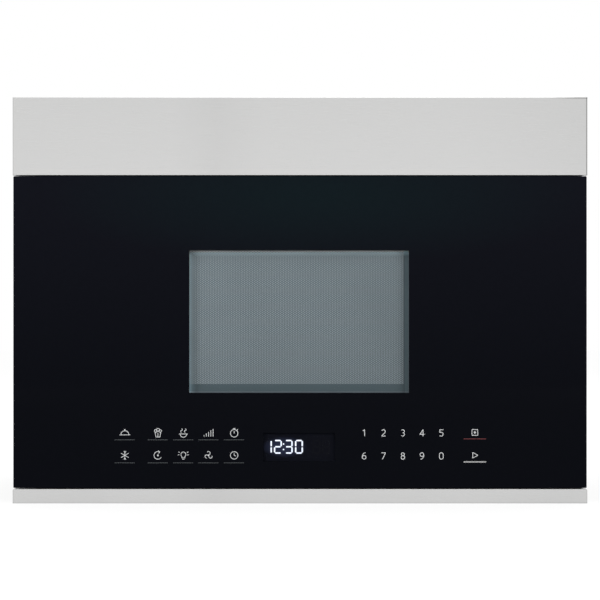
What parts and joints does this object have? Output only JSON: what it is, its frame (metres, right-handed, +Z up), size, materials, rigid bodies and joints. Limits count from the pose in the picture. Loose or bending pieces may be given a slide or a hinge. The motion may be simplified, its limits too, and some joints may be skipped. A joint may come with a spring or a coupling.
{
  "type": "over-the-range microwave oven",
  "caption": "Wide box with a full-width glass door hinged at the left, a plain steel panel above it, a perforated window, a turntable oven cavity and a vent blower.",
  "frame": {"origin": "on the floor under the middle of the outline", "axes": "+X to the right seen from the front, +Y towards the wall, +Z up; the door faces -Y"},
  "size_m": [0.607, 0.41, 0.429],
  "materials": {
    "stainless": "brushed, fine grain from side to side",
    "case_paint": "dark grey powder coat, fine texture",
    "zinc": "zinc-plated sheet, dull",
    "cavity_enamel": "light grey baked paint, smooth",
    "door_glass": "clear tinted, polished",
    "black_print": "black ceramic print behind the glass",
    "window_pane": "clear",
    "tray_glass": "clear pressed glass",
    "pan_enamel": "black baked paint",
    "screen": "grey enamel, perforated",
    "black_moulding": "moulded, fine matt texture",
    "grey_moulding": "moulded, satin",
    "white_moulding": "moulded, satin",
    "nylon": "acetal, smooth",
    "circuit_board": "green solder mask",
    "display": "dark face with a lit clock",
    "pin_steel": "ground steel",
    "spring_steel": "bright wire",
    "aluminium": "mill finish",
    "carbon": "charcoal in a black frame",
    "mica": "mica sheet, pale",
    "lacquered_iron": "lacquered laminations and copper coils",
    "lamp_lens": "ribbed clear lens"
  },
  "bodies": {
    "case": {"side_left": "case_paint", "side_right": "case_paint", "top_cover": "case_paint", "back_panel": "zinc", "case_screws": "pin_steel", "base_plate": "case_paint", "front_frame": "cavity_enamel", "cavity_liner": "cavity_enamel", "duct_covers": "zinc", "wall_plate": "zinc", "cord_bushing": "black_moulding", "top_panel": "stainless", "bottom_trim": "stainless", "exhaust_grille": "black_moulding", "charcoal_filter": "carbon", "hinge_upper": "zinc", "hinge_lower": "zinc", "hinge_pins": "pin_steel", "switch_bracket": "grey_moulding", "interlock_switches": "black_moulding", "turntable_motor": "zinc", "lamp_lenses": "lamp_lens", "cooktop_lamps": "white_moulding", "blower_scrolls": "zinc", "blower_motor": "zinc", "waveguide": "zinc", "waveguide_cover": "mica", "magnetron": "aluminium", "hv_transformer": "lacquered_iron", "hv_capacitor": "aluminium", "fan_shroud": "grey_moulding", "fan_motor": "lacquered_iron", "power_board": "circuit_board", "cavity_lamp": "white_moulding", "thermostats": "zinc", "humidity_sensor": "white_moulding"},
    "door": {"door_glass": "door_glass", "glass_print": "black_print", "door_frame": "black_moulding", "door_pan": "pan_enamel", "perforated_screen": "screen", "inner_window": "window_pane", "choke_cover": "black_moulding", "touch_board": "circuit_board", "display_module": "display", "hinge_bushes": "nylon", "latch_spring": "spring_steel"},
    "latch": {"latch_hooks": "nylon"},
    "switch_set": {"switch_buttons": "nylon"},
    "turntable": {"turntable_tray": "tray_glass", "turntable_coupler": "white_moulding"},
    "ring": {"roller_ring": "white_moulding"},
    "roller_1_body": {"roller_1": "nylon"},
    "roller_2_body": {"roller_2": "nylon"},
    "roller_3_body": {"roller_3": "nylon"},
    "blower_rotor": {"blower_wheels": "black_moulding", "blower_shaft": "pin_steel"},
    "fan_rotor": {"fan_blade": "white_moulding"},
    "filter_left": {"grease_filter_left": "aluminium"},
    "filter_right": {"grease_filter_right": "aluminium"}
  },
  "joints": [
    {"name": "door_hinge", "type": "hinge", "parent": "case", "child": "door", "pos_m": [-0.292, -0.181, 0.186], "axis": [0, 0, -1], "range_deg": [0, 110]},
    {"name": "latch_slide", "type": "slide", "parent": "door", "child": "latch", "axis": [0, 0, 1], "range_m": [0, 0.004], "stiffness_N_per_m": 300, "springref_m": -0.004, "deforming": ["latch_spring"]},
    {"name": "switch_travel", "type": "slide", "parent": "case", "child": "switch_set", "axis": [0, -1, 0], "range_m": [0, 0.0015]},
    {"name": "turntable_spin", "type": "hinge", "parent": "case", "child": "turntable", "pos_m": [-0.04, 0.0065, 0.07], "axis": [0, 0, 1], "continuous": true},
    {"name": "roller_ring_spin", "type": "hinge", "parent": "case", "child": "ring", "pos_m": [-0.04, 0.0065, 0.07265], "axis": [0, 0, 1], "continuous": true},
    {"name": "roller_1_spin", "type": "hinge", "parent": "ring", "child": "roller_1_body", "pos_m": [-0.04, 0.1115, 0.07265], "axis": [0, 1, 0], "continuous": true},
    {"name": "roller_2_spin", "type": "hinge", "parent": "ring", "child": "roller_2_body", "pos_m": [-0.13093, -0.046, 0.07265], "axis": [-0.866, -0.5, 0], "continuous": true},
    {"name": "roller_3_spin", "type": "hinge", "parent": "ring", "child": "roller_3_body", "pos_m": [0.05093, -0.046, 0.07265], "axis": [0.866, -0.5, 0], "continuous": true},
    {"name": "blower_spin", "type": "hinge", "parent": "case", "child": "blower_rotor", "pos_m": [0, 0.13, 0.3655], "axis": [1, 0, 0], "continuous": true},
    {"name": "fan_spin", "type": "hinge", "parent": "case", "child": "fan_rotor", "pos_m": [0.246, 0.19, 0.19], "axis": [0, 1, 0], "continuous": true},
    {"name": "filter_left_slide", "type": "slide", "parent": "case", "child": "filter_left", "axis": [0, 1, 0], "range_m": [0, 0.0135]},
    {"name": "filter_right_slide", "type": "slide", "parent": "case", "child": "filter_right", "axis": [0, 1, 0], "range_m": [0, 0.0135]}
  ],
  "couplings": [
    {"joint": "switch_travel", "follows": "door_hinge", "m_per_rad": 0.000781},
    {"joint": "roller_ring_spin", "follows": "turntable_spin", "ratio": 0.5},
    {"joint": "roller_1_spin", "follows": "turntable_spin", "ratio": -7},
    {"joint": "roller_2_spin", "follows": "turntable_spin", "ratio": -7},
    {"joint": "roller_3_spin", "follows": "turntable_spin", "ratio": -7}
  ]
}
